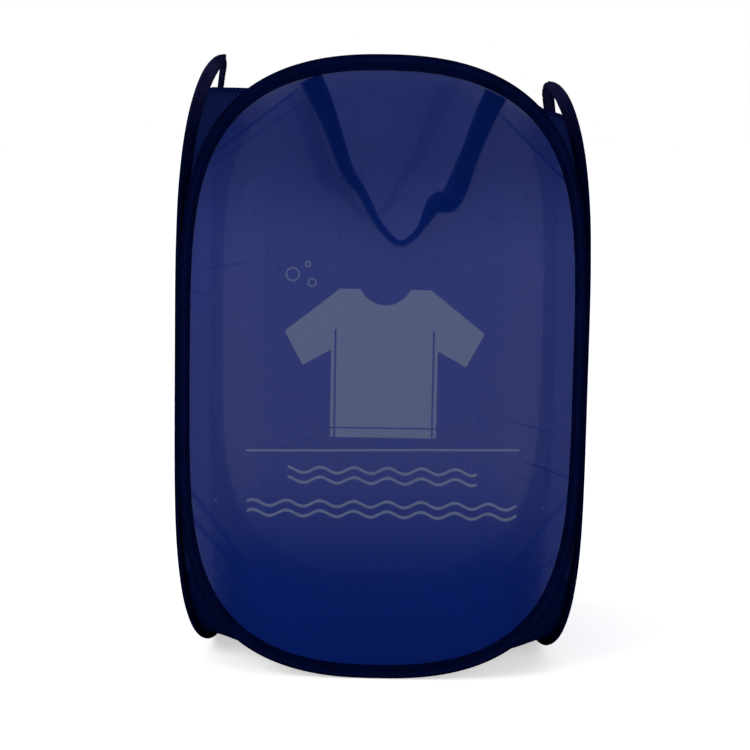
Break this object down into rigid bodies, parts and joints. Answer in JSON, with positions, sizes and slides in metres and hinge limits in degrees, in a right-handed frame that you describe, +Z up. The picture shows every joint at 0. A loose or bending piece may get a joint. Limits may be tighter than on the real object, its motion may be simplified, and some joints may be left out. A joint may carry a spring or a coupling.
{
  "type": "pop up laundry hamper",
  "caption": "Square pop up hamper of sprung oval fabric panels with bound edges, corner gussets, hand openings at the sides and hanging webbing handles.",
  "frame": {"origin": "on the ground, at the centre of the four panels' footprint", "axes": "+Z up; the front panel faces -Y; +X is to the right seen from the front"},
  "size_m": [0.3646, 0.3646, 0.56],
  "materials": {
    "nylon_fabric": "thin woven nylon, slightly see-through",
    "binding_tape": "matt woven tape",
    "hem_tape": "folded nylon hem",
    "webbing": "matt woven webbing",
    "spring_steel": "drawn wire, lightly oiled"
  },
  "bodies": {
    "front_panel": {"front_wire": "spring_steel", "front_ferrule": "spring_steel", "front_binding": "binding_tape", "front_fabric": "nylon_fabric", "front_handle_tab_left": "webbing", "front_handle_tab_right": "webbing", "base_fabric": "nylon_fabric", "front_left_gusset": "nylon_fabric", "front_left_gusset_hem": "hem_tape", "front_right_gusset": "nylon_fabric", "front_right_gusset_hem": "hem_tape"},
    "left_panel": {"left_wire": "spring_steel", "left_ferrule": "spring_steel", "left_binding": "binding_tape", "left_fabric": "nylon_fabric", "left_hem": "hem_tape"},
    "right_panel": {"right_wire": "spring_steel", "right_ferrule": "spring_steel", "right_binding": "binding_tape", "right_fabric": "nylon_fabric", "right_hem": "hem_tape"},
    "back_panel": {"back_wire": "spring_steel", "back_ferrule": "spring_steel", "back_binding": "binding_tape", "back_fabric": "nylon_fabric", "back_handle_tab_left": "webbing", "back_handle_tab_right": "webbing", "back_left_gusset": "nylon_fabric", "back_left_gusset_hem": "hem_tape", "back_right_gusset": "nylon_fabric", "back_right_gusset_hem": "hem_tape"},
    "front_handle": {"front_handle_strap": "webbing"},
    "back_handle": {"back_handle_strap": "webbing"}
  },
  "joints": [
    {"name": "left_fold", "type": "hinge", "parent": "front_panel", "child": "left_panel", "pos_m": [-0.17655, -0.18023, 0.28], "axis": [0, 0, 1], "range_deg": [-65, 65], "stiffness_Nm_per_rad": 0.3, "deforming": ["base_fabric", "front_left_gusset", "front_left_gusset_hem"]},
    {"name": "right_fold", "type": "hinge", "parent": "front_panel", "child": "right_panel", "pos_m": [0.17655, -0.18023, 0.28], "axis": [0, 0, 1], "range_deg": [-65, 65], "stiffness_Nm_per_rad": 0.3, "deforming": ["front_right_gusset", "front_right_gusset_hem"]},
    {"name": "back_fold", "type": "hinge", "parent": "left_panel", "child": "back_panel", "pos_m": [-0.17655, 0.18023, 0.28], "axis": [0, 0, 1], "range_deg": [-65, 65], "stiffness_Nm_per_rad": 0.3, "deforming": ["back_left_gusset", "back_left_gusset_hem", "back_right_gusset", "back_right_gusset_hem"]},
    {"name": "front_handle_swing", "type": "hinge", "parent": "front_panel", "child": "front_handle", "pos_m": [-0.06628, -0.16723, 0.53892], "axis": [0.998, -0.0094, -0.0621], "range_deg": [0, 150]},
    {"name": "back_handle_swing", "type": "hinge", "parent": "back_panel", "child": "back_handle", "pos_m": [0.06628, 0.16723, 0.53892], "axis": [-0.998, 0.0094, -0.0621], "range_deg": [0, 150]}
  ],
  "couplings": [
    {"joint": "right_fold", "follows": "left_fold", "ratio": 1},
    {"joint": "back_fold", "follows": "left_fold", "ratio": -1}
  ]
}
